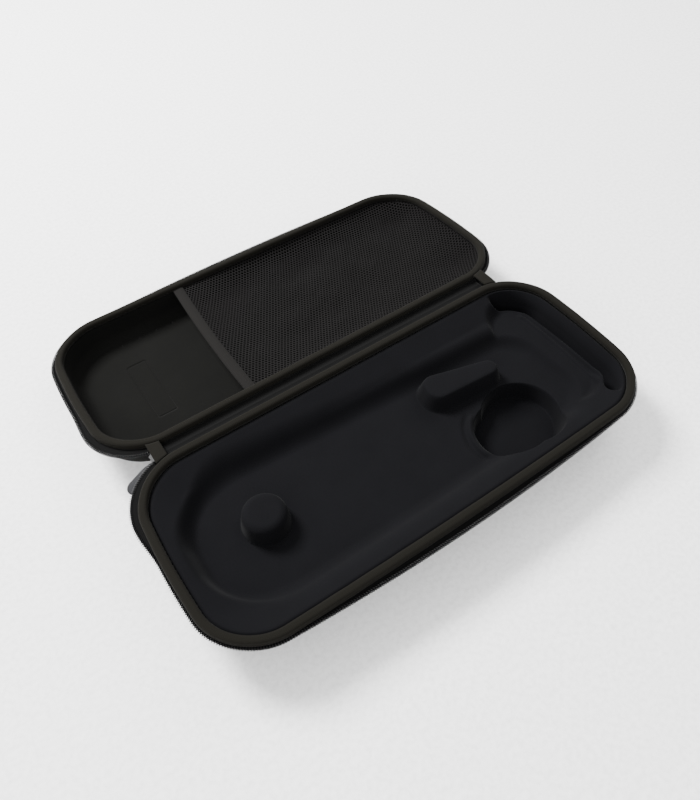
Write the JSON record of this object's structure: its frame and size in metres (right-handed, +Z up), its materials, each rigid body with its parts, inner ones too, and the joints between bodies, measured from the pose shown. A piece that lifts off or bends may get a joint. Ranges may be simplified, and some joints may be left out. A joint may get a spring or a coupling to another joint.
{
  "type": "hard case",
  "caption": "Long zipped hard case, opened flat: deep base with a moulded tray, shallow lid with a net pocket and an elastic band, fabric hinge, zip slider with a rubber pull.",
  "frame": {"origin": "centre of the flat face under the base, on the surface that the case lies on", "axes": "+X along the length of the case, towards the end with the round pocket; +Y across it towards the hinge and the open lid; +Z up out of the base"},
  "size_m": [0.3286, 0.2945, 0.0395],
  "materials": {
    "cover_fabric": "woven black outer fabric, matt",
    "foam": "closed cell moulded foam, matt",
    "lining_fabric": "brownish black brushed lining",
    "tray_jersey": "smooth bluish black jersey over moulded foam",
    "binding_tape": "knitted brown black binding tape",
    "zip_tape": "ribbed black woven zip tape",
    "zip_coil": "black nylon coil",
    "net": "black net with small holes",
    "elastic": "black woven elastic",
    "hinge_fabric": "black woven fabric",
    "slider_metal": "black painted zinc",
    "tab_rubber": "dark grey moulded rubber"
  },
  "bodies": {
    "base": {"base_cover": "cover_fabric", "base_foam": "foam", "base_lining": "lining_fabric", "tray": "tray_jersey", "base_binding": "binding_tape", "base_zip_tape": "zip_tape", "base_zip_coil": "zip_coil", "hinge_spine": "hinge_fabric", "hinge_inner_strip": "hinge_fabric", "end_patch_left": "binding_tape", "end_patch_right": "binding_tape"},
    "lid": {"lid_cover": "cover_fabric", "lid_foam": "foam", "lid_lining": "lining_fabric", "lid_binding": "binding_tape", "lid_zip_tape": "zip_tape", "lid_zip_coil": "zip_coil", "net_pocket": "net", "elastic_band": "elastic"},
    "zip_slider": {"slider_body": "slider_metal"},
    "pull": {"pull_link": "slider_metal", "pull_tab": "tab_rubber"}
  },
  "joints": [
    {"name": "lid_hinge", "type": "hinge", "parent": "base", "child": "lid", "pos_m": [0, 0.0742, 0.03975], "axis": [1, 0, 0], "range_deg": [0, 185.61], "deforming": ["hinge_spine", "hinge_inner_strip", "end_patch_left", "end_patch_right"]},
    {"name": "slider_travel", "type": "hinge", "parent": "base", "child": "zip_slider", "pos_m": [-0.124, 0.0323, 0.0348], "axis": [0, 0, 1], "range_deg": [0, 66]},
    {"name": "pull_swing", "type": "hinge", "parent": "zip_slider", "child": "pull", "pos_m": [-0.13102, 0.07209, 0.03065], "axis": [0.1736, -0.9848, 0], "range_deg": [0, 110]}
  ]
}
